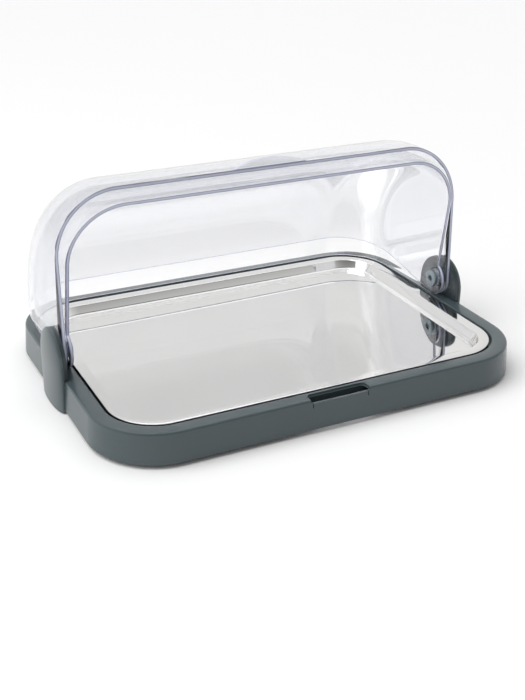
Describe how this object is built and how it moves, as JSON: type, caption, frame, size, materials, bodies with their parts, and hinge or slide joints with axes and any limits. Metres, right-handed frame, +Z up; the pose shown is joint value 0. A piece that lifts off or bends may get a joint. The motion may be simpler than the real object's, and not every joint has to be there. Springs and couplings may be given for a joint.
{
  "type": "refrigerated buffet display",
  "caption": "Tabletop chilled food display: dark base with cool packs, lift-out steel tray and two clear nested hoods that roll open on side hinges.",
  "frame": {"origin": "on the table under the middle of the base, at the level that the four feet stand on", "axes": "+X along the length of the base towards its right ear, +Y to the back where the hoods rest open, +Z up"},
  "size_m": [0.457, 0.324, 0.2143],
  "materials": {
    "base_plastic": "satin anthracite ABS, lightly glossy",
    "ear_plastic": "satin anthracite ABS",
    "bracket_plastic": "anthracite glass-filled nylon",
    "bush_plastic": "grey acetal bearing plastic",
    "polished_steel": "mirror-polished 18/10 stainless steel sheet",
    "screw_steel": "stainless steel screws",
    "foot_rubber": "black non-slip rubber",
    "pack_plastic": "blue blow-moulded polyethylene",
    "cap_plastic": "white polypropylene screw cap",
    "clear_plastic": "clear injection-moulded SAN with a faint blue edge tint"
  },
  "bodies": {
    "base": {"base_tray": "base_plastic", "cool_pack_left": "pack_plastic", "cool_pack_right": "pack_plastic", "pack_cap_left": "cap_plastic", "pack_cap_right": "cap_plastic", "hinge_bracket_left": "bracket_plastic", "hinge_bracket_right": "bracket_plastic", "hinge_cover_left": "ear_plastic", "hinge_cover_right": "ear_plastic", "foot_front_left": "foot_rubber", "foot_front_right": "foot_rubber", "foot_rear_left": "foot_rubber", "foot_rear_right": "foot_rubber", "bracket_screw_front_left": "screw_steel", "bracket_screw_rear_left": "screw_steel", "bracket_screw_front_right": "screw_steel", "bracket_screw_rear_right": "screw_steel", "pivot_bush_left": "bush_plastic", "pivot_bush_right": "bush_plastic", "spacer_washer_left": "bush_plastic", "spacer_washer_right": "bush_plastic", "pivot_screw_left": "screw_steel", "pivot_screw_right": "screw_steel"},
    "tray": {"serving_tray": "polished_steel"},
    "rear_shell": {"rear_hood": "clear_plastic"},
    "front_shell": {"front_hood": "clear_plastic"}
  },
  "joints": [
    {"name": "front_hood_turn", "type": "hinge", "parent": "base", "child": "front_shell", "pos_m": [0, 0, 0.0516], "axis": [1, 0, 0], "range_deg": [0, 93.2]},
    {"name": "rear_hood_turn", "type": "hinge", "parent": "base", "child": "rear_shell", "pos_m": [0, 0, 0.0516], "axis": [1, 0, 0], "range_deg": [0, 85]},
    {"name": "tray_lift", "type": "slide", "parent": "base", "child": "tray", "axis": [0, 0, 1], "range_m": [0, 0.0035]}
  ]
}
